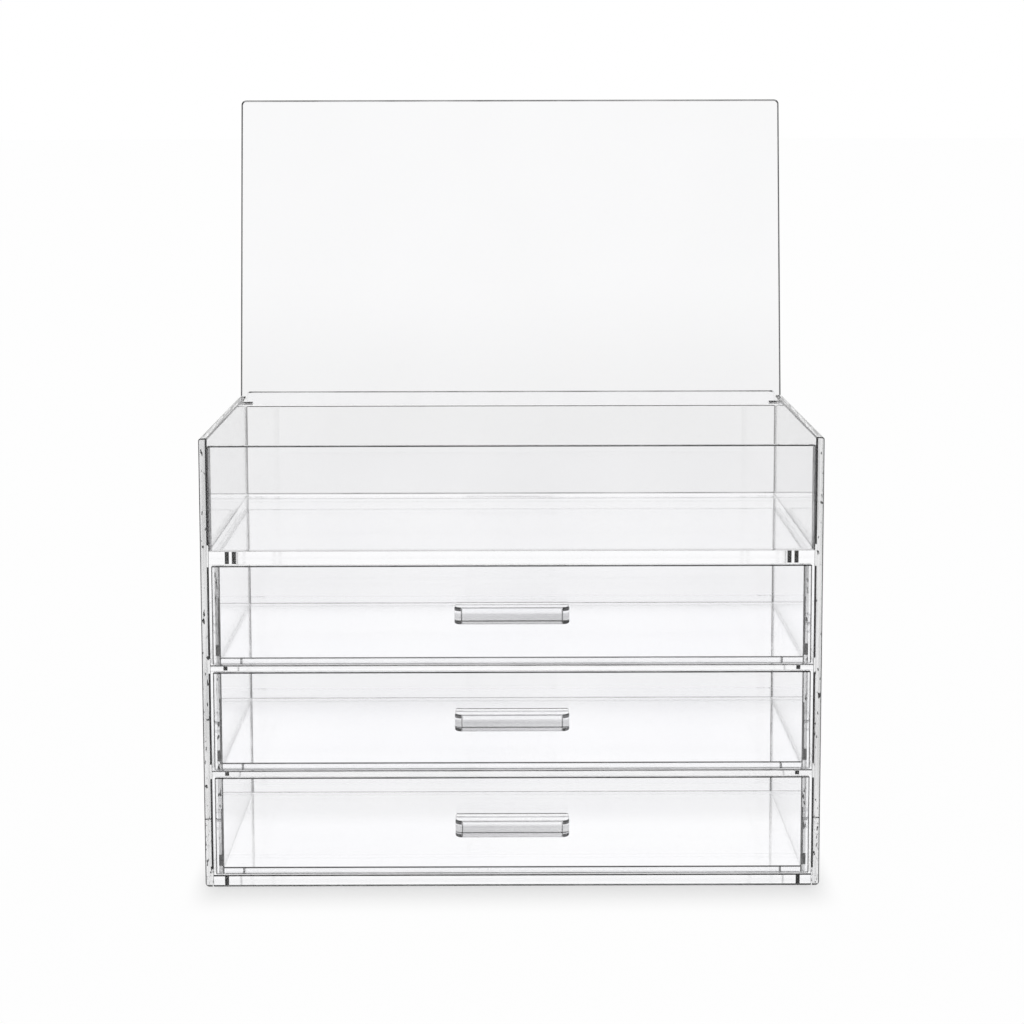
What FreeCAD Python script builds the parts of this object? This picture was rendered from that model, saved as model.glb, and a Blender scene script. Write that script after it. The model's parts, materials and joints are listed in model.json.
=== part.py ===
import FreeCAD, Part
import os
import re
import Sketcher
from FreeCAD import Placement, Rotation, Vector

# Clear acrylic drawer organizer: a case with an open tray above three drawers, and a lid on two pins.
# X runs across the width, -Y is the front, +Z is up, and the origin is the middle of the underside.

# Driving dimensions in millimetres, and the lid's opening angle in degrees.
SIZES = {
    # Case
    "case_width": 240.0,
    "case_depth": 140.0,
    "side_thickness": 3.3,
    "base_thickness": 4.7,
    "shelf_thickness": 2.4,
    "tray_floor_thickness": 5.2,
    "tray_front_thickness": 3.0,
    "back_thickness": 3.0,
    "bay_height": 39.4,
    "tray_height": 44.0,
    "tray_front_drop": 3.0,
    "foot_corner_round": 1.5,
    "rim_corner_round": 1.0,
    "cement_line": 0.05,
    "edge_break": 0.3,
    # Drawers
    "drawer_rear_space": 30.0,
    "drawer_front_thickness": 3.0,
    "drawer_wall": 3.0,
    "drawer_floor_thickness": 2.4,
    "drawer_side_clearance": 0.9,
    "drawer_top_clearance": 0.4,
    "drawer_slide_clearance": 0.2,
    "handle_width": 44.0,
    "handle_depth": 11.0,
    "handle_height": 6.6,
    "handle_corner_round": 3.0,
    "handle_edge_round": 1.2,
    "handle_rise": 18.0,
    "stop_width": 4.0,
    "stop_depth": 5.0,
    "stop_height": 4.0,
    "stop_clearance": 0.2,
    # Lid and hinge
    "lid_side_inset": 1.2,
    "lid_thickness": 3.0,
    "lid_lip": 0.8,
    "lid_seat_clearance": 0.2,
    "lid_stop_clearance": 0.05,
    "lid_tail": 0.6,
    "lid_corner_round": 2.0,
    "lid_open_angle": 98.8,
    "hinge_from_rear": 6.6,
    "hinge_drop": 2.4,
    "bar_reach": 5.2,
    "bar_tail": 1.6,
    "bar_thickness": 4.2,
    "bar_corner_round": 1.8,
    "bar_end_clearance": 0.9,
    "bar_sweep_clearance": 0.5,
    "pin_radius": 0.7,
    "pin_clearance": 0.05,
    "pin_engagement": 2.0,
    "pin_embedment": 2.5,
    "pin_end_clearance": 0.2,
}

# Sizes and places that follow from the driving dimensions.
DERIVED = {
    "inner_width": "case_width - 2 * side_thickness",
    "sheet_width": "inner_width - 2 * cement_line",
    "front_face": "-case_depth / 2",
    "rear_face": "case_depth / 2",
    "sheet_depth": "case_depth - back_thickness - cement_line",
    "bay_pitch": "bay_height + shelf_thickness",
    "tray_floor_underside": "base_thickness + 3 * bay_height + 2 * shelf_thickness",
    "tray_floor_top": "tray_floor_underside + tray_floor_thickness",
    "case_height": "tray_floor_top + tray_height",
    # Drawer boxes
    "drawer_depth": "case_depth - drawer_rear_space",
    "drawer_width": "inner_width - 2 * drawer_side_clearance",
    "drawer_height": "bay_height - drawer_top_clearance - drawer_slide_clearance",
    "drawer_side_length": "drawer_depth - drawer_front_thickness - cement_line",
    "drawer_inside": "drawer_width - 2 * drawer_wall - 2 * cement_line",
    "drawer_floor_length": "drawer_side_length - drawer_wall - cement_line",
    # Lid, measured from its hinge axis as it lies closed
    "lid_width": "case_width - 2 * lid_side_inset",
    "axis_y": "rear_face - hinge_from_rear",
    "axis_z": "case_height - hinge_drop",
    "lean": "lid_open_angle - 90",
    "lid_underside": "hinge_drop + lid_seat_clearance",
    "lid_top": "lid_underside + lid_thickness",
    "lid_front_reach": "case_depth - hinge_from_rear + lid_lip",
    "lid_stop_reach": "(hinge_drop + lid_top * sin(lean) + lid_stop_clearance) / cos(lean)",
    "bar_length": "inner_width - 2 * bar_end_clearance",
    "lid_step": "(lid_width - bar_length) / 2",
    "bar_depth": "bar_reach + bar_tail",
    "pin_hole_radius": "pin_radius + pin_clearance",
    "pin_length": "pin_embedment + bar_end_clearance + pin_engagement",
    # The back stays below the tail of the lid as it swings down behind the axis
    "back_drop": "hinge_drop + lid_tail * cos(lean) + lid_top * sin(lean) + bar_sweep_clearance",
}

WORD = re.compile(r"[a-z_]{3,}\b(?!\()")

doc = FreeCAD.newDocument("DrawerOrganizer")
sheet = doc.addObject("Spreadsheet::Sheet", "Sizes")
for row, (alias, value) in enumerate(SIZES.items(), start=1):
    sheet.set(f"A{row}", alias)
    sheet.set(f"B{row}", str(value))
    sheet.setAlias(f"B{row}", alias)
doc.recompute()


def formula(text):
    """Spell a sum of named sizes as an expression on the sheet's cells."""

    def cell(match):
        name = match.group(0)
        return f"({formula(DERIVED[name])})" if name in DERIVED else f"Sizes.{name}"

    return WORD.sub(cell, text)


def value_of(text):
    return float(sheet.evalExpression(formula(text)))


def bind(item, path, text):
    item.setExpression(path, formula(text))


def place(item, x, y, z):
    for axis, text in zip("xyz", (x, y, z)):
        bind(item, f"Placement.Base.{axis}", text)


def origin_plane(body, role):
    return next(f for f in body.Origin.OriginFeatures if f.Role == role)


def outline(body, name, role, points, shift=("0", "0", "0")):
    """A closed outline of straight lines on one of the body's own planes, each corner tied to its sizes."""
    sketch = body.newObject("Sketcher::SketchObject", f"{body.Name}_{name}")
    sketch.AttachmentSupport = [(origin_plane(body, role), "")]
    sketch.MapMode = "FlatFace"
    for axis, text in zip("xyz", shift):
        bind(sketch, f"AttachmentOffset.Base.{axis}", text)
    corners = [Vector(value_of(x), value_of(y), 0) for x, y in points]
    count = len(points)
    for i in range(count):
        sketch.addGeometry(Part.LineSegment(corners[i], corners[(i + 1) % count]), False)
    for i in range(count):
        sketch.addConstraint(Sketcher.Constraint("Coincident", i, 2, (i + 1) % count, 1))
    for i, corner in enumerate(points):
        for kind, text, zero_line in zip(("DistanceX", "DistanceY"), corner, (-2, -1)):
            if text == "0":
                sketch.addConstraint(Sketcher.Constraint("PointOnObject", i, 1, zero_line))
                continue
            datum = sketch.addConstraint(Sketcher.Constraint(kind, i, 1, value_of(text)))
            bind(sketch, f"Constraints[{datum}]", text)
    return sketch


def circle(body, name, role, centre, radius, shift):
    """A circle for a round hole, its centre shifted from the body's own origin."""
    sketch = body.newObject("Sketcher::SketchObject", f"{body.Name}_{name}")
    sketch.AttachmentSupport = [(origin_plane(body, role), "")]
    sketch.MapMode = "FlatFace"
    for axis, text in zip("xyz", (*centre, shift)):
        bind(sketch, f"AttachmentOffset.Base.{axis}", text)
    sketch.addGeometry(Part.Circle(Vector(0, 0, 0), Vector(0, 0, 1), value_of(radius)), False)
    sketch.addConstraint(Sketcher.Constraint("Coincident", 0, 3, -1, 1))
    datum = sketch.addConstraint(Sketcher.Constraint("Radius", 0, value_of(radius)))
    bind(sketch, f"Constraints[{datum}]", radius)
    return sketch


def pad(body, sketch, length):
    """Grow an outline towards the positive side of its plane's axis."""
    feature = body.newObject("PartDesign::Pad", f"{body.Name}_sheet")
    feature.Profile = sketch
    bind(feature, "Length", length)
    feature.Reversed = sketch.AttachmentSupport[0][0].Role == "XZ_Plane"
    doc.recompute()


def blind_hole(body, sketch, depth, towards_positive):
    feature = body.newObject("PartDesign::Pocket", f"{sketch.Name}_hole")
    feature.Profile = sketch
    bind(feature, "Length", depth)
    feature.Reversed = towards_positive
    before = body.Shape.Volume
    doc.recompute()
    assert body.Shape.Volume < before, f"{feature.Name} cuts nothing"


# Faces whose normals turn by less than this share of a right angle already run smoothly into each other.
SMOOTH_SHARE = 0.3
# Two places closer than this share of a size are the same place.
SAME_SHARE = 1e-6


def dress_edges(body, kind, name, wanted):
    """Add a Fillet or Chamfer on the edges of the body's last feature that the test picks."""
    last = body.Tip
    names = [f"Edge{i}" for i, edge in enumerate(last.Shape.Edges, start=1) if wanted(last.Shape, edge)]
    feature = body.newObject(f"PartDesign::{kind}", f"{body.Name}_{name}")
    feature.Base = (last, names)
    return feature


def round_edges(body, name, radius, wanted):
    bind(dress_edges(body, "Fillet", name, wanted), "Radius", radius)
    doc.recompute()


def is_sharp(shape, edge):
    middle = edge.valueAt((edge.FirstParameter + edge.LastParameter) / 2)
    faces = shape.ancestorsOfType(edge, Part.Face)
    normals = [face.normalAt(*face.Surface.parameter(middle)) for face in faces]
    return abs(normals[0].dot(normals[1])) < 1 - SMOOTH_SHARE


def at_corner(axis, **ends):
    """A test for the edges along an axis that lie at the Min or Max end of the shape on other axes."""

    def test(shape, edge):
        box = edge.BoundBox
        if getattr(box, f"{axis}Length") < box.DiagonalLength * (1 - SAME_SHARE):
            return False
        whole = shape.BoundBox
        slack = whole.DiagonalLength * SAME_SHARE
        return all(abs(getattr(box, a + end) - getattr(whole, a + end)) < slack for a, end in ends.items())

    return test


def break_edges(body):
    """Break every edge that is still sharp with a small chamfer."""
    bind(dress_edges(body, "Chamfer", "break", is_sharp), "Size", "edge_break")
    doc.recompute()


def panel(label, role, across, up, thickness, corner):
    """A rectangular sheet whose lowest corner is the given one."""
    body = doc.addObject("PartDesign::Body", label)
    sketch = outline(body, "outline", role, [("0", "0"), (across, "0"), (across, up), ("0", up)])
    pad(body, sketch, thickness)
    place(body, *corner)
    nodes.append(body)
    return body


def flat_sheet(label, width, depth, thickness, corner):
    break_edges(panel(label, "XY_Plane", width, depth, thickness, corner))


def cross_sheet(label, width, height, thickness, corner):
    break_edges(panel(label, "XZ_Plane", width, height, thickness, corner))


def side_panel(label, left):
    """A side of the case: rounded foot and rim outside, and a blind hole inside for the lid's pin."""
    x = "-case_width / 2" if left else "case_width / 2 - side_thickness"
    body = panel(label, "YZ_Plane", "case_depth", "case_height", "side_thickness", (x, "front_face", "0"))
    outside = "Min" if left else "Max"
    foot = at_corner("Y", X=outside, Z="Min")
    rim = at_corner("Y", X=outside, Z="Max")
    round_edges(body, "foot", "foot_corner_round", foot)
    round_edges(body, "rim", "rim_corner_round", rim)
    break_edges(body)
    centre = ("case_depth - hinge_from_rear", "axis_z")
    sketch = circle(body, "pin", "YZ_Plane", centre, "pin_hole_radius", "side_thickness" if left else "0")
    blind_hole(body, sketch, "pin_engagement + pin_end_clearance", towards_positive=not left)


def case():
    side_panel("side_panel_left", left=True)
    side_panel("side_panel_right", left=False)
    x = "-sheet_width / 2"
    flat_sheet("base_panel", "sheet_width", "sheet_depth", "base_thickness", (x, "front_face", "0"))
    flat_sheet(
        "shelf_lower", "sheet_width", "sheet_depth", "shelf_thickness",
        (x, "front_face", "base_thickness + bay_height"),
    )
    flat_sheet(
        "shelf_upper", "sheet_width", "sheet_depth", "shelf_thickness",
        (x, "front_face", "base_thickness + bay_height + bay_pitch"),
    )
    flat_sheet(
        "tray_floor", "sheet_width", "sheet_depth", "tray_floor_thickness",
        (x, "front_face", "tray_floor_underside"),
    )
    cross_sheet(
        "tray_front", "sheet_width", "tray_height - tray_front_drop - cement_line", "tray_front_thickness",
        (x, "front_face", "tray_floor_top + cement_line"),
    )
    cross_sheet(
        "back_panel", "sheet_width", "case_height - back_drop", "back_thickness",
        (x, "rear_face - back_thickness", "0"),
    )


def drawer_stops(level, bay_floor):
    """A pair of blocks on the bay's floor, against the sides, that meet the drawer's back."""
    blocks = []
    for side, x in (
        ("left", "-inner_width / 2 + cement_line"),
        ("right", "inner_width / 2 - stop_width - cement_line"),
    ):
        block = doc.addObject("Part::Box", f"stop_{level}_{side}")
        bind(block, "Length", "stop_width")
        bind(block, "Width", "stop_depth")
        bind(block, "Height", "stop_height")
        place(block, x, "front_face + drawer_depth + stop_clearance", f"{bay_floor} + cement_line")
        blocks.append(block)
    pair = doc.addObject("Part::Compound", f"drawer_stops_{level}")
    pair.Links = blocks
    nodes.append(pair)


def handle(level, base):
    """A solid bar with rounded front corners, cemented to the middle of the drawer's front."""
    body = doc.addObject("PartDesign::Body", f"drawer_{level}_handle")
    corners = [("0", "0"), ("handle_width", "0"), ("handle_width", "handle_depth"), ("0", "handle_depth")]
    pad(body, outline(body, "outline", "XY_Plane", corners), "handle_height")
    round_edges(body, "corners", "handle_corner_round", front_corners)
    round_edges(body, "rims", "handle_edge_round", off_cemented_face)
    break_edges(body)
    place(body, "-handle_width / 2", "front_face - handle_depth - cement_line", f"{base} + handle_rise")
    nodes.append(body)


def front_corners(shape, edge):
    return at_corner("Z", Y="Min")(shape, edge)


def off_cemented_face(shape, edge):
    """The sharp edges of a handle, apart from the rim of the face that is cemented to the drawer."""
    rear = shape.BoundBox.YMax - shape.BoundBox.DiagonalLength * SAME_SHARE
    return is_sharp(shape, edge) and edge.BoundBox.YMin < rear


def drawer(level, bay_floor):
    base = f"{bay_floor} + drawer_slide_clearance"
    left = "-drawer_width / 2"
    behind_front = "front_face + drawer_front_thickness + cement_line"
    inside = "-drawer_inside / 2"
    cross_sheet(
        f"drawer_{level}_front", "drawer_width", "drawer_height", "drawer_front_thickness",
        (left, "front_face", base),
    )
    for side, x in (("left", left), ("right", "drawer_width / 2 - drawer_wall")):
        break_edges(panel(
            f"drawer_{level}_side_{side}", "YZ_Plane", "drawer_side_length", "drawer_height", "drawer_wall",
            (x, behind_front, base),
        ))
    cross_sheet(
        f"drawer_{level}_back", "drawer_inside", "drawer_height", "drawer_wall",
        (inside, "front_face + drawer_depth - drawer_wall", base),
    )
    flat_sheet(
        f"drawer_{level}_floor", "drawer_inside", "drawer_floor_length", "drawer_floor_thickness",
        (inside, behind_front, base),
    )
    handle(level, base)
    drawer_stops(level, bay_floor)


def on_hinge(item):
    """Carry a piece that is drawn closed about the hinge axis to its open place."""
    item.Placement = Placement(Vector(), Rotation(Vector(-1, 0, 0), SIZES["lid_open_angle"]))
    bind(item, "Placement.Rotation.Angle", "lid_open_angle")
    place(item, "0", "axis_y", "axis_z")
    nodes.append(item)


def lid_panel():
    """The lid's sheet: its full width lies on the sides, and a tongue between them reaches the hinge."""
    body = doc.addObject("PartDesign::Body", "lid_panel")
    shoulder = "lid_front_reach - lid_stop_reach"
    tail = "lid_front_reach + lid_tail"
    corners = [
        ("0", "0"), ("lid_width", "0"), ("lid_width", shoulder), ("lid_width - lid_step", shoulder),
        ("lid_width - lid_step", tail), ("lid_step", tail), ("lid_step", shoulder), ("0", shoulder),
    ]
    sketch = outline(body, "outline", "XY_Plane", corners, ("-lid_width / 2", "-lid_front_reach", "lid_underside"))
    pad(body, sketch, "lid_thickness")
    round_edges(body, "corners", "lid_corner_round", front_corners)
    break_edges(body)
    on_hinge(body)


def lid_hinge_bar():
    """The bar under the lid's tongue, with a blind hole in each end for its pin."""
    body = doc.addObject("PartDesign::Body", "lid_hinge_bar")
    corners = [("0", "0"), ("bar_length", "0"), ("bar_length", "bar_depth"), ("0", "bar_depth")]
    shift = ("-bar_length / 2", "-bar_reach", "lid_underside - bar_thickness - cement_line")
    pad(body, outline(body, "outline", "XY_Plane", corners, shift), "bar_thickness")
    round_edges(body, "corners", "bar_corner_round", front_corners)
    break_edges(body)
    for side, end, inward in (("left", "-bar_length / 2", True), ("right", "bar_length / 2", False)):
        sketch = circle(body, f"pin_{side}", "YZ_Plane", ("0", "0"), "pin_hole_radius", end)
        blind_hole(body, sketch, "pin_embedment + pin_end_clearance", towards_positive=inward)
    on_hinge(body)


def hinge_pins():
    for side, start in (
        ("left", "-bar_length / 2 - bar_end_clearance - pin_engagement"),
        ("right", "bar_length / 2 - pin_embedment"),
    ):
        pin = doc.addObject("Part::Cylinder", f"hinge_pin_{side}")
        bind(pin, "Radius", "pin_radius")
        bind(pin, "Height", "pin_length")
        pin.Placement = Placement(Vector(), Rotation(Vector(0, 1, 0), 90))
        place(pin, start, "axis_y", "axis_z")
        nodes.append(pin)


nodes = []
case()
for step, level in enumerate(("bottom", "middle", "top")):
    drawer(level, f"base_thickness + {step} * bay_pitch")
lid_panel()
lid_hinge_bar()
hinge_pins()
doc.recompute()

for item in doc.Objects:
    assert not {"Invalid", "Error"} & set(item.State), f"{item.Name} failed: {item.State}"
for node in nodes:
    assert not node.Shape.isNull() and node.Shape.isValid(), f"{node.Label} has no valid shape"

os.makedirs("parts", exist_ok=True)
for node in nodes:
    node.Shape.exportStep(f"parts/{node.Label}.step")
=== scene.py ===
import json
import math
import bpy
from mathutils import Matrix, Vector


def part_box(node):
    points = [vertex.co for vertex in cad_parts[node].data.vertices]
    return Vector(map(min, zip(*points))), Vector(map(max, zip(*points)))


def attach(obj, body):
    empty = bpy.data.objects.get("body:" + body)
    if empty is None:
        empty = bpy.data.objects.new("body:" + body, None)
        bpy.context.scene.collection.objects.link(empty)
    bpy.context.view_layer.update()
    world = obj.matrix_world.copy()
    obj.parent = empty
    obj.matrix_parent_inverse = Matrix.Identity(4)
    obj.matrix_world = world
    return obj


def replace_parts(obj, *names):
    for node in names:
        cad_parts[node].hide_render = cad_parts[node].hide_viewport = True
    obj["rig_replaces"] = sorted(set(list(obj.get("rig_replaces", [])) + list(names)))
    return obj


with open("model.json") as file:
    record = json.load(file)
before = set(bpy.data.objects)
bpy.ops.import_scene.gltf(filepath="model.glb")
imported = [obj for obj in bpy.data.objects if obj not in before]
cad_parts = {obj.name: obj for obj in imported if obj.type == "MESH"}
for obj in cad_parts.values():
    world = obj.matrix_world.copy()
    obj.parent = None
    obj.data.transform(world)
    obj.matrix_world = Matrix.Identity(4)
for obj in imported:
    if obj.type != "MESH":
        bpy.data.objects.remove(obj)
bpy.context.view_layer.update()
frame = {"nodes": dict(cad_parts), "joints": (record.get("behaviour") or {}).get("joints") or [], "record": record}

MM = 0.001
LEVELS = ("bottom", "middle", "top")
WHITE = (1.0, 1.0, 1.0, 1.0)
X, Y, Z = range(3)
LOW, HIGH = range(2)

# Edges of the sheets and bars
EDGE_BREAK = 0.45 * MM
FOOT_ROUND = 1.5 * MM
RIM_ROUND = 1.0 * MM
LID_ROUND = 2.0 * MM
BAR_ROUND = 1.8 * MM
PIN_CLEARANCE = 0.05 * MM
PIN_END_CLEARANCE = 0.2 * MM
SHARP = math.radians(50)
BREAK_SEGMENTS = 2
FOOT_SEGMENTS = 6
RIM_SEGMENTS = 5
CORNER_SEGMENTS = 6
HOLE_SIDES = 24

# How far a face is turned to a side, as the share of its normal along that side's axis
FACING_SHARE = 0.95
MOSTLY_FACING_SHARE = 0.9
NARROW_FACE_SHARE = 0.5

# Handle
HANDLE_ROUND = 3.0 * MM
HANDLE_ROUND_SEGMENTS = 10
HANDLE_EDGE = 0.6 * MM
HANDLE_EDGE_SEGMENTS = 5
# Places of painted shade on the handle
HANDLE_REAR_STRIP = 1.8 * MM
HANDLE_END_LINE = 0.45 * MM
# Painted shade: the handle's cemented rear face is dark up to this height over its foot, fading over the next
HANDLE_SHADE_TOP = 2.9 * MM
HANDLE_SHADE_FADE = 0.6 * MM
HANDLE_MARK = 1.4 * MM

# Lines and dark images that the polished edges show, painted into their colour as shade and reflections
SIDE_STRIP = 0.3 * MM
JOINT_BELOW = 0.8 * MM
JOINT_ABOVE = 2.5 * MM
TRAY_JOINT = 0.5 * MM
DRAWER_STREAK = 2.0 * MM
DRAWER_STRIP = 0.4 * MM
DRAWER_MARK = (3.0 * MM, 7.5 * MM)
DRAWER_STRIP_TOP = 26 * MM
DRAWER_LINE = 0.25 * MM
BAR_MARK = 2.2 * MM
TRAY_END_STRIP = 0.8 * MM
REFLECTION_WIDTH = 1.6 * MM
BASE_REFLECTION_INSET = 4.3 * MM
SHELF_REFLECTION_INSET = 5.0 * MM
TRAY_REFLECTION_INSETS = (6.2 * MM, 8.9 * MM)
FOOT_LINE = 0.4 * MM
TRAY_LINE_RISE = 0.9 * MM
TRAY_LINE_WIDTH = 0.5 * MM

# Tints of the acrylic and of the shade painted into it, each from its darkest to its palest patch
SIDE_TINT = (0.97, 0.985)
# Painted shade: the side sheets are darker above the tray floor
SIDE_SHADE_BY_TRAY = (0.80, 0.82)
BACK_TINT = (0.985, 0.995)
# Painted shade: the back sheet is darker above the line along the tray floor
BACK_SHADE_BY_TRAY = (0.84, 0.86)
TRAY_FRONT_TINT = (0.985, 0.995)
FRONT_TINT = (0.985, 0.995)
# Painted shade: each drawer front is darker in its upper part
FRONT_SHADE_ABOVE = (0.90, 0.92)
DRAWER_TINT = (0.985, 0.996)
# Painted shade: the lid is darker towards its foot
LID_FOOT_SHADE = (0.88, 0.89)
LID_TINT = (0.94, 0.95)
FLAT_TINT = (0.993, 0.999)
BAR_TINT = (0.98, 0.995)
# Painted shade: the dark lower band of the handle's cemented rear face
CEMENT_SHADE = (0.40, 0.48)
CEMENT_TINT_ABOVE = (0.96, 0.98)
CUT_TINT = (0.975, 0.995)
# Painted shade: grey streaks and dark specks in the polished edges
STREAK_TINT = (0.42, 0.70)
DEEP_STREAK_TINT = (0.12, 0.50)
SPECK_TINT = 0.002
# Painted shade: the faint, soft, dark and black lines and images in the broken edges
FAINT_TINT = (0.85, 0.95)
SOFT_TINT = (0.08, 0.25)
LINE_TINT = (0.002, 0.025)
BLACK_TINT = (0.0, 0.002)
BLUE_SHARE = 1.006

# Heights over which a tint fades into its painted shade
SIDE_FADE = 1 * MM
LID_FADE = 60 * MM
FRONT_FADE_SHARES = (0.45, 0.62)

# Patches, waves and wiping marks in the acrylic, and the streaks and specks of shade painted into its polished
# edges
ACRYLIC_IOR = 1.49
SHEET_PATCH = 60 * MM
BAR_PATCH = 8 * MM
CUT_PATCH = 10 * MM
SOFT_LINE_PATCH = 20 * MM
DARK_LINE_PATCH = 25 * MM
PATCH_DETAIL = 3.0
PATCH_STEP = (0.3, 0.7)
WIPING_MARK = 12 * MM
WIPING_DETAIL = 4.0
WAVE_LENGTH = 45 * MM
WAVE_DETAIL = 1.0
SHEET_WAVE = 0.02 * MM
BAR_WAVE = 0.01 * MM
STREAK_WIDTH = 1.2 * MM
STREAK_STRETCH = (1.0, 1.0, 0.03)
STREAK_STEP = (0.35, 0.65)
SPECK_WIDTH = 1.3 * MM
SPECK_STRETCH = (1.0, 1.0, 0.4)
SPECK_STEP = (0.63, 0.66)
STREAK_DETAIL = 2.0
SHEET_HAZE = 0.01
POLISHED_HAZE = 0.02
STREAK_HAZE = 0.03
SATIN_HAZE = 0.05
LINE_HAZE = 0.1

# Steel of the pins
STEEL_DARK = 0.42
STEEL_PALE = 0.58
STEEL_GRAIN = 0.4 * MM
STEEL_STRETCH = (0.1, 1.0, 1.0)
STEEL_DETAIL = 2.0
STEEL_ROUGHNESS = 0.2
STEEL_ROUGHNESS_RANGE = 0.2

# Camera, in the part's frame
CAMERA_SPOT = Vector((-1.7 * MM, -968.1 * MM, 297.4 * MM))
CAMERA_YAW = 0.0024
CAMERA_PITCH = 0.1128
CAMERA_ROLL = 0.0021
CAMERA_SHIFT = -0.12
SENSOR_WIDTH = 36.0
LENS = 83.22

# Floor and room
FLOOR_RADIUS = 40.0
FLOOR_SIDES = 96
FLOOR_GAP = 0.3 * MM
FLOOR_PAINT = 0.97
FLOOR_WHITE_SHARE = 0.985
SHADE_SHARE = 0.38
SHADE_AHEAD = (-14 * MM, 34 * MM)
SHADE_BESIDE = (-6 * MM, 8 * MM)
CEILING_FROM = 0.32
CEILING_TO = 0.5
CEILING_SHADE = 0.12
PLAIN_ROOM_DEPTH = 1.5
GLASS_BOUNCES = 40
GLOSSY_BOUNCES = 20

# The finishes of an acrylic piece, in the order of its material slots; from STREAK on they are painted shade in
# the edges
FACE, CUT, STREAK, DEEP, FAINT, SOFT, LINE, BLACK = range(8)

# The sides of a box, each as an axis and an end of it
SIDES = {
    "left": (X, LOW),
    "right": (X, HIGH),
    "front": (Y, LOW),
    "rear": (Y, HIGH),
    "bottom": (Z, LOW),
    "top": (Z, HIGH),
}

# Which output of a Mix node holds its colour
MIXED_COLOUR = 2


class Wire:
    """A shader socket that sums in Python can be written with."""

    def __init__(self, tree, socket=None):
        self.tree = tree
        self.socket = socket

    def node(self, kind, settings=None, inputs=None, output=0):
        """Add a node, set it up, and fill its sockets with values or links."""
        made = self.tree.nodes.new(kind)
        for name, value in (settings or {}).items():
            setattr(made, name, value)
        for name, value in (inputs or {}).items():
            if isinstance(value, Wire):
                self.tree.links.new(value.socket, made.inputs[name])
            else:
                made.inputs[name].default_value = value
        return Wire(self.tree, made.outputs[output] if made.outputs else None)

    def math(self, operation, *values):
        return self.node("ShaderNodeMath", {"operation": operation}, dict(enumerate(values)))

    def __add__(self, other):
        return self.math("ADD", self, other)

    def __sub__(self, other):
        return self.math("SUBTRACT", self, other)

    def __rsub__(self, other):
        return self.math("SUBTRACT", other, self)

    def __mul__(self, other):
        return self.math("MULTIPLY", self, other)

    __radd__ = __add__
    __rmul__ = __mul__


def grey(level):
    return (level, level, level, 1.0)


def glass(level):
    """The faintly blue tint of clear acrylic."""
    return (level, level, min(1.0, level * BLUE_SHARE), 1.0)


def new_material(name):
    """An empty material, with a wire to write it with."""
    material = bpy.data.materials.new(name)
    material.use_nodes = True
    material.node_tree.nodes.clear()
    return material, Wire(material.node_tree)


def finish_material(wire, settings):
    shader = wire.node("ShaderNodeBsdfPrincipled", None, settings)
    wire.node("ShaderNodeOutputMaterial", None, {"Surface": shader})


def place(wire, axis):
    """The place on the piece along one axis."""
    spot = wire.node("ShaderNodeTexCoord", output="Object")
    return wire.node("ShaderNodeSeparateXYZ", None, {"Vector": spot}, output=axis)


def cloud(wire, size, detail=PATCH_DETAIL, stretch=(1.0, 1.0, 1.0)):
    """Soft cloudy noise with patches of about the given size."""
    spot = wire.node("ShaderNodeTexCoord", output="Object")
    spot = wire.node("ShaderNodeMapping", None, {"Vector": spot, "Scale": stretch})
    return wire.node("ShaderNodeTexNoise", None, {"Vector": spot, "Scale": 1 / size, "Detail": detail})


def ramp(wire, value, start, end):
    """A smooth step from 0 at the start to 1 at the end."""
    return wire.node(
        "ShaderNodeMapRange", {"interpolation_type": "SMOOTHSTEP"},
        {"Value": value, "From Min": start, "From Max": end},
    )


def between(wire, mask, first, last):
    """A colour that runs from the first to the last with the mask."""
    return wire.node(
        "ShaderNodeMix", {"data_type": "RGBA"},
        {"Factor": mask, "A": first, "B": last}, output=MIXED_COLOUR,
    )


def clouded(wire, low, high, size=SHEET_PATCH):
    """An uneven tint between two levels."""
    return between(wire, ramp(wire, cloud(wire, size), *PATCH_STEP), glass(low), glass(high))


def acrylic(name, tint, haze=SHEET_HAZE, wave_height=SHEET_WAVE):
    """Clear acrylic, with its tint, a trace of haze and the slight waviness of cast sheet."""
    material, wire = new_material(name)
    wipe = cloud(wire, WIPING_MARK, WIPING_DETAIL)
    wave = wire.node(
        "ShaderNodeBump", None,
        {"Height": cloud(wire, WAVE_LENGTH, WAVE_DETAIL), "Strength": 1.0, "Distance": wave_height},
    )
    finish_material(wire, {
        "Base Color": tint(wire),
        "Roughness": wipe * haze,
        "Normal": wave,
        "IOR": ACRYLIC_IOR,
        "Transmission Weight": 1.0,
    })
    return material


def even(low, high, size=SHEET_PATCH):
    """A tint that is about the same all over."""
    return lambda wire: clouded(wire, low, high, size)


def fading(below, above, start, end, pitch=None):
    """A tint that changes with height, again in each bay where a pitch is given."""

    def tint(wire):
        level = place(wire, "Z")
        if pitch:
            level = (level - bay_floor).math("FLOORED_MODULO", level - bay_floor, pitch)
        return between(wire, ramp(wire, level, start, end), clouded(wire, *below), clouded(wire, *above))

    return tint


def streaked(low, high, speck):
    """A tint in upright streaks, with a few dark specks, as light makes in a polished edge."""

    def tint(wire):
        streaks = ramp(wire, cloud(wire, STREAK_WIDTH, STREAK_DETAIL, STREAK_STRETCH), *STREAK_STEP)
        specks = ramp(wire, cloud(wire, SPECK_WIDTH, STREAK_DETAIL, SPECK_STRETCH), *SPECK_STEP)
        return between(wire, specks, between(wire, streaks, glass(low), glass(high)), glass(speck))

    return tint


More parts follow.
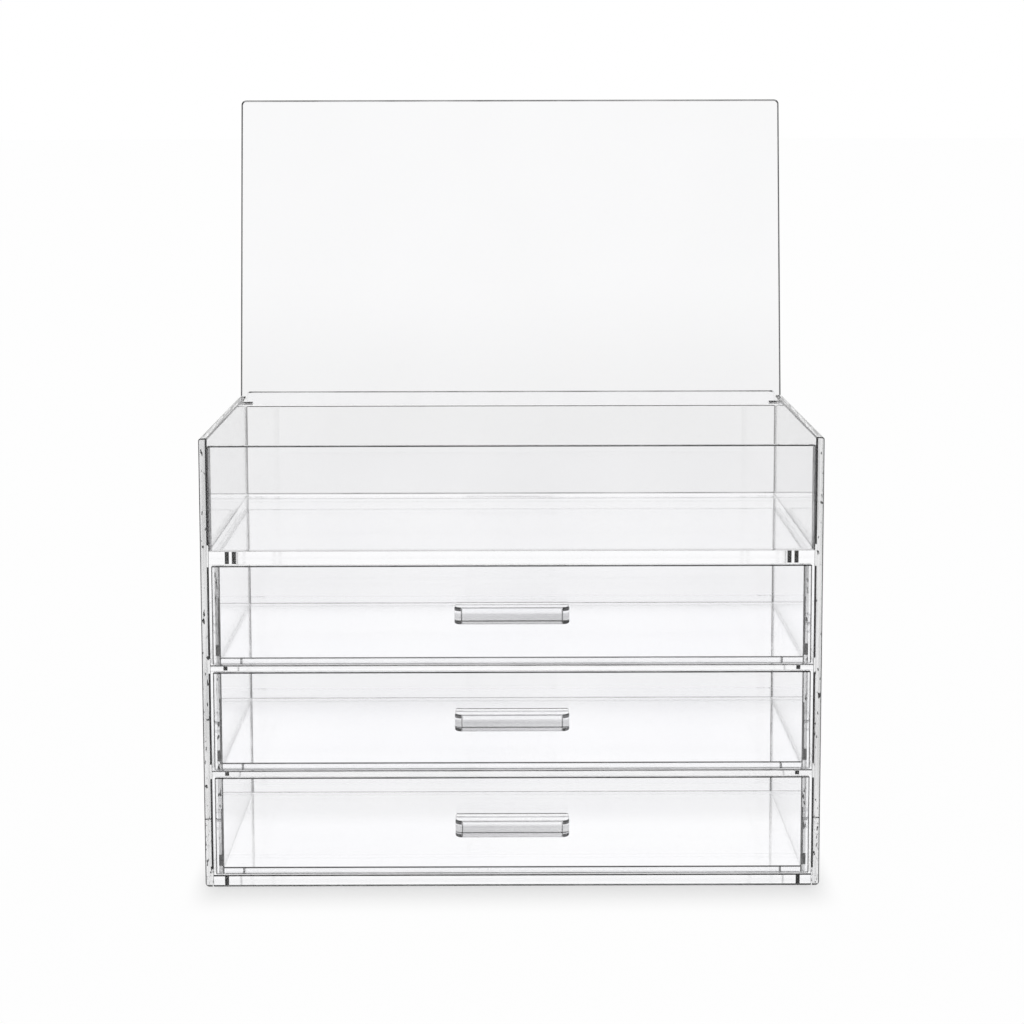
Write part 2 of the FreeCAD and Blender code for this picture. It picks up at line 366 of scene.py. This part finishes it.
def steel(name):
    material, wire = new_material(name)
    drawn = cloud(wire, STEEL_GRAIN, STEEL_DETAIL, STEEL_STRETCH)
    finish_material(wire, {
        "Base Color": between(wire, drawn, grey(STEEL_DARK), grey(STEEL_PALE)),
        "Roughness": drawn * STEEL_ROUGHNESS_RANGE + STEEL_ROUGHNESS,
        "Metallic": 1.0,
    })
    return material


bay_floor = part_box("base_panel")[HIGH].z
bay_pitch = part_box("shelf_upper")[LOW].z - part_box("shelf_lower")[LOW].z
tray_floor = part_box("tray_floor")[HIGH].z
lid_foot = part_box("lid_panel")[LOW].z
handle_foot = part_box("drawer_bottom_handle")[LOW].z - bay_floor
handle_shade_top = handle_foot + HANDLE_SHADE_TOP
front_fade = [bay_pitch * share for share in FRONT_FADE_SHARES]

# The side sheet gets painted shade above the tray floor.
side_sheet = acrylic(
    "clear side sheet",
    fading(SIDE_TINT, SIDE_SHADE_BY_TRAY, tray_floor - SIDE_FADE, tray_floor),
)
# The back sheet gets painted shade above the tray floor.
back_sheet = acrylic(
    "clear back sheet",
    fading(BACK_TINT, BACK_SHADE_BY_TRAY, tray_floor, tray_floor + TRAY_LINE_RISE),
)
tray_sheet = acrylic("clear tray front sheet", even(*TRAY_FRONT_TINT))
# Each drawer front gets painted shade in its upper part.
front_sheet = acrylic(
    "clear drawer front sheet",
    fading(FRONT_TINT, FRONT_SHADE_ABOVE, *front_fade, bay_pitch),
)
drawer_sheet = acrylic("clear drawer sheet", even(*DRAWER_TINT))
# The lid gets painted shade towards its foot.
lid_sheet = acrylic("clear lid sheet", fading(LID_FOOT_SHADE, LID_TINT, lid_foot, lid_foot + LID_FADE))
flat_sheet = acrylic("clear flat sheet", even(*FLAT_TINT))
clear_bar = acrylic("clear acrylic bar", even(*BAR_TINT, BAR_PATCH), POLISHED_HAZE, BAR_WAVE)
# The handle's cemented rear face is darker in its lower part: painted shade.
shaded_cemented_face = acrylic(
    "cemented face with painted shade",
    fading(
        CEMENT_SHADE, CEMENT_TINT_ABOVE,
        handle_shade_top - HANDLE_SHADE_FADE, handle_shade_top + HANDLE_SHADE_FADE, bay_pitch,
    ),
    SATIN_HAZE, 0.0,
)
cut_edge = acrylic("polished cut edge", even(*CUT_TINT, CUT_PATCH), POLISHED_HAZE)
streaked_edge = acrylic("polished front edge in painted streaks of shade", streaked(*STREAK_TINT, SPECK_TINT), STREAK_HAZE)
deep_streaks = acrylic("painted dark streaks of shade in an edge", streaked(*DEEP_STREAK_TINT, SPECK_TINT), STREAK_HAZE)
# Painted shade: lines and dark images in the broken edges.
faint_line = acrylic("faint painted line on a broken edge", even(*FAINT_TINT, SOFT_LINE_PATCH), SATIN_HAZE, 0.0)
soft_line = acrylic("soft painted line on a broken edge", even(*SOFT_TINT, SOFT_LINE_PATCH), LINE_HAZE, 0.0)
dark_line = acrylic("dark painted line on a broken edge", even(*LINE_TINT, DARK_LINE_PATCH), LINE_HAZE, 0.0)
dark_image = acrylic("painted dark reflection in an edge", even(*BLACK_TINT, DARK_LINE_PATCH), LINE_HAZE, 0.0)
pin_steel = steel("drawn steel pin")

BODIES = {node: body for body, nodes in frame["record"]["behaviour"]["bodies"].items() for node in nodes}


def deselect():
    bpy.ops.object.select_all(action="DESELECT")


def activate(piece):
    deselect()
    piece.select_set(True)
    bpy.context.view_layer.objects.active = piece


def settle(piece):
    """Move the piece's place and turn into its mesh."""
    activate(piece)
    bpy.ops.object.transform_apply(location=True, rotation=True, scale=True)


def block(name, low, high):
    """A plain block between two corners."""
    deselect()
    bpy.ops.mesh.primitive_cube_add(size=1, location=(low + high) / 2, scale=high - low)
    piece = bpy.context.object
    piece.name = name
    settle(piece)
    return piece


def acrylic_block(node, low, high, face, cut=cut_edge):
    """A block in the finishes of an acrylic piece."""
    piece = block(f"clear_{node}", low, high)
    for finish in (face, cut, streaked_edge, deep_streaks, faint_line, soft_line, dark_line, dark_image):
        piece.data.materials.append(finish)
    return piece


def along(corners, *sides):
    """A test for points on the edge where the given sides of a box meet."""
    levels = [(axis, corners[end][axis]) for axis, end in map(SIDES.get, sides)]

    def near(point):
        return all(abs(point[axis] - level) < EDGE_BREAK for axis, level in levels)

    return lambda *points: all(map(near, points))


def pick_edges(piece, wanted):
    """Go to edit mode with only those edges selected whose two ends pass the test."""
    activate(piece)
    bpy.context.tool_settings.mesh_select_mode = (False, True, False)
    mesh = piece.data
    for item in (*mesh.vertices, *mesh.edges, *mesh.polygons):
        item.select = False
    for edge in mesh.edges:
        edge.select = wanted(*(mesh.vertices[i].co for i in edge.vertices))
    bpy.ops.object.mode_set(mode="EDIT")


def round_edges(piece, wanted, radius, segments, finish=FACE):
    pick_edges(piece, wanted)
    bpy.ops.mesh.bevel(offset=radius, segments=segments, affect="EDGES", material=finish)
    bpy.ops.object.mode_set(mode="OBJECT")


def break_edges(piece, finish=FAINT, held=()):
    """Break every edge that is still sharp, but for those that pass one of the tests in held; the bevels take the
    given finish, by default a faint painted line of shade.
    """
    activate(piece)
    bpy.context.tool_settings.mesh_select_mode = (False, True, False)
    bpy.ops.object.mode_set(mode="EDIT")
    bpy.ops.mesh.select_all(action="DESELECT")
    bpy.ops.mesh.edges_select_sharp(sharpness=SHARP)
    bpy.ops.object.mode_set(mode="OBJECT")
    mesh = piece.data
    for edge in mesh.edges:
        ends = [mesh.vertices[i].co for i in edge.vertices]
        edge.select = edge.select and not any(test(*ends) for test in held)
    for item in (*mesh.vertices, *mesh.polygons):
        item.select = False
    bpy.ops.object.mode_set(mode="EDIT")
    bpy.ops.mesh.bevel(offset=EDGE_BREAK, segments=BREAK_SEGMENTS, affect="EDGES", material=finish)
    bpy.ops.object.mode_set(mode="OBJECT")


def score(piece, axis, level):
    """Cut the faces across at a level, so that a strip beside it can have its own finish."""
    across = Vector((0, 0, 0))
    across[axis] = 1
    activate(piece)
    bpy.ops.object.mode_set(mode="EDIT")
    bpy.ops.mesh.select_all(action="SELECT")
    bpy.ops.mesh.bisect(plane_co=across * level, plane_no=across)
    bpy.ops.object.mode_set(mode="OBJECT")


def give_finish(piece, finish, wanted):
    """Give a finish to the faces that pass the test."""
    activate(piece)
    bpy.context.tool_settings.mesh_select_mode = (False, False, True)
    for face in piece.data.polygons:
        face.select = wanted(face)
    bpy.ops.object.mode_set(mode="EDIT")
    piece.active_material_index = finish
    bpy.ops.object.material_slot_assign()
    bpy.ops.object.mode_set(mode="OBJECT")


def line_edges(piece, finish, beside):
    """Give a finish, a painted line of shade, to the broken edges that pass the test."""
    give_finish(piece, finish, lambda face: face.material_index >= FAINT and beside(face.center))


def faces_front(face):
    return face.normal.y < -FACING_SHARE


def cut_away(piece, cutter):
    """Cut one shape out of another."""
    activate(piece)
    cut = piece.modifiers.new("cut", "BOOLEAN")
    cut.operation = "DIFFERENCE"
    cut.solver = "EXACT"
    cut.object = cutter
    bpy.ops.object.modifier_apply(modifier=cut.name)
    bpy.data.objects.remove(cutter)


def drill_for_pin(piece, pin, origin=Vector()):
    """Drill the hole that a hinge pin turns in, a little wider and longer than the pin."""
    low, high = (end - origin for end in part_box(pin))
    radius = (high.z - low.z) / 2 + PIN_CLEARANCE
    length = high.x - low.x + 2 * PIN_END_CLEARANCE
    deselect()
    bpy.ops.mesh.primitive_cylinder_add(
        vertices=HOLE_SIDES, radius=radius, depth=length, location=(low + high) / 2,
        rotation=(0, math.pi / 2, 0),
    )
    cutter = bpy.context.object
    settle(cutter)
    cut_away(piece, cutter)


def stand_for(piece, node):
    """The piece takes the node's place and moves with its body."""
    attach(piece, BODIES[node])
    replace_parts(piece, node)
    return piece


def finish_sheet(piece, thin, corners, lines):
    """Give a sheet's narrow faces the cut finish, and its broken edges the lines that they show."""

    def narrow(face):
        return face.material_index == FACE and abs(face.normal[thin]) < NARROW_FACE_SHARE

    give_finish(piece, CUT, narrow)
    for sides, finish in lines.items():
        line_edges(piece, finish, along(corners, *sides))


def sheet(node, face, lines, cemented=(), detail=None):
    """A flat sheet, its edges broken but for those on cemented sides, with any detail of its own."""
    low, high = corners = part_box(node)
    size = high - low
    thin = min((X, Y, Z), key=lambda axis: size[axis])
    piece = acrylic_block(node, low, high, face)
    break_edges(piece, held=[along(corners, *sides) for sides in cemented])
    finish_sheet(piece, thin, corners, lines)
    if detail:
        detail(piece, low, high)
    return stand_for(piece, node)


def copied(piece, source, node):
    """A copy of a finished piece, moved from its own node's place to another's."""
    activate(piece)
    bpy.ops.object.duplicate(linked=False)
    copy = bpy.context.object
    copy.name = f"clear_{node}"
    copy.parent = None
    del copy["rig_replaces"]
    copy.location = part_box(node)[LOW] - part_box(source)[LOW]
    settle(copy)
    return stand_for(copy, node)


def painted_end_reflections(*insets):
    """Painted reflections: the dark images of the sides in a flat sheet's front edge, near both ends."""

    def detail(piece, low, high):
        for inset in insets:
            outer = high.x - inset
            inner = outer - REFLECTION_WIDTH
            for level in (-outer, -inner, inner, outer):
                score(piece, X, level)
            give_finish(piece, BLACK, lambda face: faces_front(face) and inner < abs(face.center.x) < outer)

    return detail


def end_strips(piece, low, high):
    """Painted reflections: the grey images at both ends of the tray's front."""
    start = high.x - EDGE_BREAK - TRAY_END_STRIP
    for level in (-start, start):
        score(piece, X, level)
    give_finish(piece, SOFT, lambda face: faces_front(face) and abs(face.center.x) > start)


def foot_line(piece, low):
    """A painted line of shade along the foot of a front edge."""
    foot = low.z + EDGE_BREAK + FOOT_LINE
    score(piece, Z, foot)
    give_finish(piece, LINE, lambda face: faces_front(face) and face.center.z < foot)


def base_lines(piece, low, high):
    painted_end_reflections(BASE_REFLECTION_INSET)(piece, low, high)
    foot_line(piece, low)


def tray_lines(piece, low, high):
    """The lines of painted shade that the back panel shows in the tray, up its corners and along its floor."""
    start = tray_floor + TRAY_LINE_RISE
    end = start + TRAY_LINE_WIDTH
    for level in (start, end):
        score(piece, Z, level)
    for side in ("left", "right"):
        corner = along((low, high), "front", side)
        line_edges(piece, SOFT, lambda spot: spot.z > start and corner(spot))
    give_finish(piece, SOFT, lambda face: faces_front(face) and start < face.center.z < end)


def inner_lines(piece, corners, inner):
    """The painted dark reflection along a side's inner front edge, broken at the flat sheets, and a painted line
    of shade at the tray.
    """
    axis, end = SIDES[inner]
    inside = corners[end][axis]
    strip = inside + math.copysign(EDGE_BREAK + SIDE_STRIP, inside)
    score(piece, X, strip)
    joints = []
    for flat in ("base_panel", "shelf_lower", "shelf_upper", "tray_floor"):
        flat_low, flat_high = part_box(flat)
        joints.append((flat_low.z - JOINT_BELOW, flat_high.z + JOINT_ABOVE))
    for level in (*sum(joints, ()), tray_floor, tray_floor + TRAY_JOINT):
        score(piece, Z, level)

    def clear_of_joints(spot):
        return not any(start < spot.z < end for start, end in joints)

    def tray_joint(face):
        faces_in = face.normal.x * math.copysign(1, inside) < -FACING_SHARE
        return faces_in and tray_floor < face.center.z < tray_floor + TRAY_JOINT

    edge = along(corners, "front", inner)
    line_edges(piece, BLACK, lambda spot: edge(spot) and clear_of_joints(spot))
    give_finish(
        piece, BLACK,
        lambda face: faces_front(face) and abs(face.center.x) < abs(strip) and clear_of_joints(face.center),
    )
    give_finish(piece, SOFT, tray_joint)


def side_panel(node, pin, outer, inner):
    """A side of the case, rounded outside at its foot and rim, with the hole that the lid's pin turns in."""
    low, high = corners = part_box(node)
    piece = acrylic_block(node, low, high, side_sheet)
    # The rounded foot and rim and the broken edges get painted lines of shade, and the front edge painted streaks
    # of shade.
    round_edges(piece, along(corners, outer, "bottom"), FOOT_ROUND, FOOT_SEGMENTS, SOFT)
    round_edges(piece, along(corners, outer, "top"), RIM_ROUND, RIM_SEGMENTS, SOFT)
    break_edges(piece)
    finish_sheet(piece, X, corners, {
        ("top", inner): SOFT,
        ("front",): LINE,
        ("front", inner): FAINT,
    })
    give_finish(piece, STREAK, lambda face: face.material_index == CUT and faces_front(face))
    inner_lines(piece, corners, inner)
    foot_line(piece, low)
    drill_for_pin(piece, pin)
    return stand_for(piece, node)


def case():
    side_panel("side_panel_left", "hinge_pin_left", "left", "right")
    side_panel("side_panel_right", "hinge_pin_right", "right", "left")
    # The lines given to the sheets' edges here are painted shade.
    held = (("left",), ("right",), ("rear",))
    sheet("base_panel", flat_sheet, {("front", "top"): LINE, ("front", "bottom"): LINE}, held, base_lines)
    shelf = sheet("shelf_lower", flat_sheet, {("front", "top"): SOFT}, held, painted_end_reflections(SHELF_REFLECTION_INSET))
    copied(shelf, "shelf_lower", "shelf_upper")
    sheet("tray_floor", flat_sheet, {}, (*held, ("top",)), painted_end_reflections(*TRAY_REFLECTION_INSETS))
    front_lines = {("front", "left"): LINE, ("front", "right"): LINE, ("front", "top"): LINE}
    sheet("tray_front", tray_sheet, front_lines, detail=end_strips)
    rear_lines = {("rear", "left"): SOFT, ("rear", "right"): SOFT}
    sheet("back_panel", back_sheet, rear_lines, (("bottom",), ("rear", "top")), tray_lines)


def drawer_stops():
    """The pair of small blocks behind each drawer."""
    first = f"drawer_stops_{LEVELS[0]}"
    low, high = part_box(first)
    stop_low, stop_high = block_ends(first)
    pair = acrylic_block(first, low, Vector((stop_low, high.y, high.z)), clear_bar)
    right = acrylic_block("right_stop", Vector((stop_high, low.y, low.z)), high, clear_bar)
    activate(pair)
    right.select_set(True)
    bpy.ops.object.join()
    break_edges(pair)
    stand_for(pair, first)
    for level in LEVELS[1:]:
        copied(pair, first, f"drawer_stops_{level}")


def block_ends(node):
    """Where the left block of a pair ends and the right one starts."""
    across = [vertex.co.x for vertex in frame["nodes"][node].data.vertices]
    return max(x for x in across if x < 0), min(x for x in across if x > 0)


def handle(node):
    """A bar with rounded ends, to pull the drawer by."""
    low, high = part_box(node)
    piece = acrylic_block(node, low, high, clear_bar, shaded_cemented_face)
    rear = high.y - EDGE_BREAK

    def front_corner(a, b):
        return a.xy == b.xy and a.y < low.y + EDGE_BREAK

    def long_edge(a, b):
        return a.z == b.z and min(a.y, b.y) < rear

    round_edges(piece, front_corner, HANDLE_ROUND, HANDLE_ROUND_SEGMENTS)
    round_edges(piece, long_edge, HANDLE_EDGE, HANDLE_EDGE_SEGMENTS)
    break_edges(piece)
    # Painted shade: a soft line on the rear foot edge, a black strip along the top's rear, dark marks on the
    # rounded ends and soft lines where they start.
    line_edges(piece, SOFT, along((low, high), "rear", "bottom"))
    # The rear face takes the cemented face with its painted shade.
    give_finish(piece, CUT, lambda face: face.normal.y > MOSTLY_FACING_SHARE)
    corner = high.x - HANDLE_ROUND
    for level in (-corner - HANDLE_END_LINE, corner + HANDLE_END_LINE):
        score(piece, X, level)
    strip = high.y - HANDLE_REAR_STRIP
    score(piece, Y, strip)
    mark_low = low.z + HANDLE_MARK
    mark_high = high.z - HANDLE_MARK
    for level in (mark_low, mark_high):
        score(piece, Z, level)

    def end_mark(face):
        rounded = abs(face.center.x) > corner + HANDLE_END_LINE and face.center.y < low.y + HANDLE_ROUND
        upright = abs(face.normal.z) < FACING_SHARE
        return rounded and upright and not mark_low < face.center.z < mark_high

    def end_line(face):
        return faces_front(face) and corner < abs(face.center.x) < corner + HANDLE_END_LINE

    def top_rear(face):
        return face.normal.z > MOSTLY_FACING_SHARE and face.center.y > strip

    give_finish(piece, BLACK, top_rear)
    give_finish(piece, LINE, end_mark)
    give_finish(piece, SOFT, end_line)
    activate(piece)
    bpy.ops.object.shade_smooth()
    weighted = piece.modifiers.new("flat faces", "WEIGHTED_NORMAL")
    bpy.ops.object.modifier_apply(modifier=weighted.name)
    return stand_for(piece, node)


def drawer_side(node, inner):
    """A side of a drawer, with painted streaks of shade and a painted dark mark along the inner half of its front
    edge.
    """

    def streaks(piece, low, high):
        inside = min(low.x, high.x, key=abs)
        start = inside + math.copysign(DRAWER_STREAK, inside)
        strip = inside + math.copysign(EDGE_BREAK + DRAWER_STRIP, inside)
        mark_low, mark_high = (low.z + level for level in DRAWER_MARK)
        strip_top = low.z + DRAWER_STRIP_TOP
        for level in (start, strip):
            score(piece, X, level)
        for level in (mark_low, mark_high, strip_top):
            score(piece, Z, level)

        def dark(face):
            in_mark = abs(face.center.x) < abs(start) and face.center.z < mark_high
            in_strip = abs(face.center.x) < abs(strip) and face.center.z < strip_top
            return faces_front(face) and mark_low < face.center.z and (in_mark or in_strip)

        give_finish(piece, DEEP, lambda face: faces_front(face) and abs(face.center.x) < abs(start))
        give_finish(piece, BLACK, dark)

    return sheet(node, drawer_sheet, {("front", inner): LINE}, (("rear",), ("bottom",)), streaks)


def back_lines(piece, low, high):
    """The painted lines of shade on a drawer's back: along the floor, and up its corners, darker in the lower
    half.
    """
    middle = (low.z + high.z) / 2
    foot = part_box(f"drawer_{LEVELS[0]}_floor")[HIGH].z
    for level in (foot, foot + DRAWER_LINE, middle):
        score(piece, Z, level)
    for side in ("left", "right"):
        corner = along((low, high), "front", side)
        line_edges(piece, LINE, lambda spot: spot.z < middle and corner(spot))
    give_finish(piece, SOFT, lambda face: faces_front(face) and foot < face.center.z < foot + DRAWER_LINE)


def drawers():
    first = f"drawer_{LEVELS[0]}"
    # The lines given to the drawer pieces' edges are painted shade.
    corner_lines = {("front", "left"): SOFT, ("front", "right"): SOFT}
    held = (("left",), ("right",), ("rear",))
    pieces = {
        "front": sheet(f"{first}_front", front_sheet, {
            ("front", "left"): LINE,
            ("front", "right"): LINE,
            ("front", "top"): LINE,
        }),
        "side_left": drawer_side(f"{first}_side_left", "right"),
        "side_right": drawer_side(f"{first}_side_right", "left"),
        "back": sheet(f"{first}_back", drawer_sheet, corner_lines, (("bottom",),), back_lines),
        "floor": sheet(f"{first}_floor", flat_sheet, {("front", "top"): SOFT}, held),
        "handle": handle(f"{first}_handle"),
    }
    for level in LEVELS[1:]:
        for part, piece in pieces.items():
            copied(piece, f"{first}_{part}", f"drawer_{level}_{part}")


def lid():
    """The lid's sheet and hinge bar, modelled as they lie closed on the hinge axis, then swung open."""
    hinge = next(joint for joint in frame["joints"] if joint["child"] == "lid")
    axis = Vector(hinge["pos_m"])
    swing = math.radians(hinge["range_deg"][HIGH])
    close = Matrix.Rotation(swing, 4, "X")

    def closed(node):
        return [close @ (vertex.co - axis) for vertex in frame["nodes"][node].data.vertices]

    def closed_box(points):
        return Vector(map(min, zip(*points))), Vector(map(max, zip(*points)))

    def swing_open(piece, node):
        piece.rotation_euler.x = -swing
        piece.location = axis
        settle(piece)
        return stand_for(piece, node)

    def front_corners(corners):
        front = along(corners, "front")
        return lambda a, b: (a.xy - b.xy).length < EDGE_BREAK and front(a, b)

    points = closed("lid_panel")
    low, high = corners = closed_box(points)
    bar_low, bar_high = bar_corners = closed_box(closed("lid_hinge_bar"))
    shoulder = max(p.y for p in points if p.x > bar_high.x + EDGE_BREAK)
    panel = acrylic_block("lid_panel", low, high, lid_sheet)
    for end, step in ((low.x, bar_low.x), (bar_high.x, high.x)):
        cut_away(panel, block("notch", Vector((end, shoulder, low.z)), Vector((step, high.y, high.z))))
    round_edges(panel, front_corners(corners), LID_ROUND, CORNER_SEGMENTS)
    # The lid's broken edges get dark painted lines of shade, softer along its front.
    break_edges(panel, LINE, [lambda a, b: min(a.y, b.y) > shoulder - EDGE_BREAK])
    line_edges(panel, SOFT, along(corners, "front"))
    finish_sheet(panel, Z, corners, {})
    swing_open(panel, "lid_panel")

    bar = acrylic_block("lid_hinge_bar", bar_low, bar_high, clear_bar)
    # The bar's rounded corners and edges get painted lines of shade, black at its ends.
    round_edges(bar, front_corners(bar_corners), BAR_ROUND, CORNER_SEGMENTS, LINE)
    break_edges(bar, held=[along(bar_corners, "rear", "bottom")])
    upper = along(bar_corners, "front")
    line_edges(bar, SOFT, upper)
    mark = bar_high.x - BAR_MARK
    for level in (-mark, mark):
        score(bar, X, level)
    line_edges(bar, BLACK, lambda spot: upper(spot) and abs(spot.x) > mark)
    for pin in ("hinge_pin_left", "hinge_pin_right"):
        drill_for_pin(bar, pin, axis)
        frame["nodes"][pin].data.materials.clear()
        frame["nodes"][pin].data.materials.append(pin_steel)
    swing_open(bar, "lid_hinge_bar")


def floor():
    """A wide pale floor, shaded close to the case."""
    deselect()
    bpy.ops.mesh.primitive_circle_add(
        vertices=FLOOR_SIDES, radius=FLOOR_RADIUS, location=(0, 0, -FLOOR_GAP), fill_type="NGON"
    )
    ground = bpy.context.object
    ground.name = "floor"
    settle(ground)
    material, wire = new_material("pale floor")

    def clear_of_case(axis, edge, reach):
        spot = place(wire, axis)
        return ramp(wire, spot.math("ABSOLUTE", spot) - edge, *reach)

    case_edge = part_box("side_panel_right")[HIGH]
    case_front = -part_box("side_panel_right")[LOW].y
    beside = 1 - clear_of_case("X", case_edge.x, SHADE_BESIDE)
    ahead = 1 - clear_of_case("Y", case_front, SHADE_AHEAD)
    white_share = FLOOR_WHITE_SHARE - beside * ahead * SHADE_SHARE
    seen = wire.node("ShaderNodeLightPath", output="Is Camera Ray") * white_share
    for kind in ("Is Glossy Ray", "Is Transmission Ray"):
        seen = seen.math("MAXIMUM", seen, wire.node("ShaderNodeLightPath", output=kind))
    paint = wire.node("ShaderNodeBsdfDiffuse", None, {"Color": grey(FLOOR_PAINT)})
    white = wire.node("ShaderNodeEmission", None, {"Color": WHITE, "Strength": 1.0})
    surface = wire.node("ShaderNodeMixShader", None, {0: seen, 1: paint, 2: white})
    wire.node("ShaderNodeOutputMaterial", None, {"Surface": surface})
    ground.data.materials.append(material)


def studio_light():
    """A white room with a dark ceiling that only light inside the acrylic meets."""
    world = bpy.data.worlds.new("studio")
    world.use_nodes = True
    world.node_tree.nodes.clear()
    bpy.context.scene.world = world
    wire = Wire(world.node_tree)
    direction = wire.node("ShaderNodeTexCoord", output="Generated")
    up = wire.node("ShaderNodeSeparateXYZ", None, {"Vector": direction}, output="Z")
    room = 1 - ramp(wire, up, CEILING_FROM, CEILING_TO) * (1 - CEILING_SHADE)
    depth = wire.node("ShaderNodeLightPath", output="Ray Depth")
    plain = depth.math("LESS_THAN", depth, PLAIN_ROOM_DEPTH)
    strength = plain + (1 - plain) * room
    background = wire.node("ShaderNodeBackground", None, {"Color": WHITE, "Strength": strength})
    wire.node("ShaderNodeOutputWorld", None, {"Surface": background})


def front_camera():
    camera = bpy.data.objects.new("camera", bpy.data.cameras.new("camera"))
    bpy.context.scene.collection.objects.link(camera)
    camera.location = CAMERA_SPOT
    camera.rotation_euler = (math.pi / 2 - CAMERA_PITCH, CAMERA_ROLL, -CAMERA_YAW)
    camera.data.sensor_width = SENSOR_WIDTH
    camera.data.lens = LENS
    camera.data.shift_y = CAMERA_SHIFT
    bpy.context.scene.camera = camera


case()
drawer_stops()
drawers()
lid()
floor()
studio_light()
front_camera()

scene = bpy.context.scene
scene.view_settings.view_transform = "Standard"
scene.cycles.max_bounces = GLASS_BOUNCES
scene.cycles.transmission_bounces = GLASS_BOUNCES
scene.cycles.glossy_bounces = GLOSSY_BOUNCES
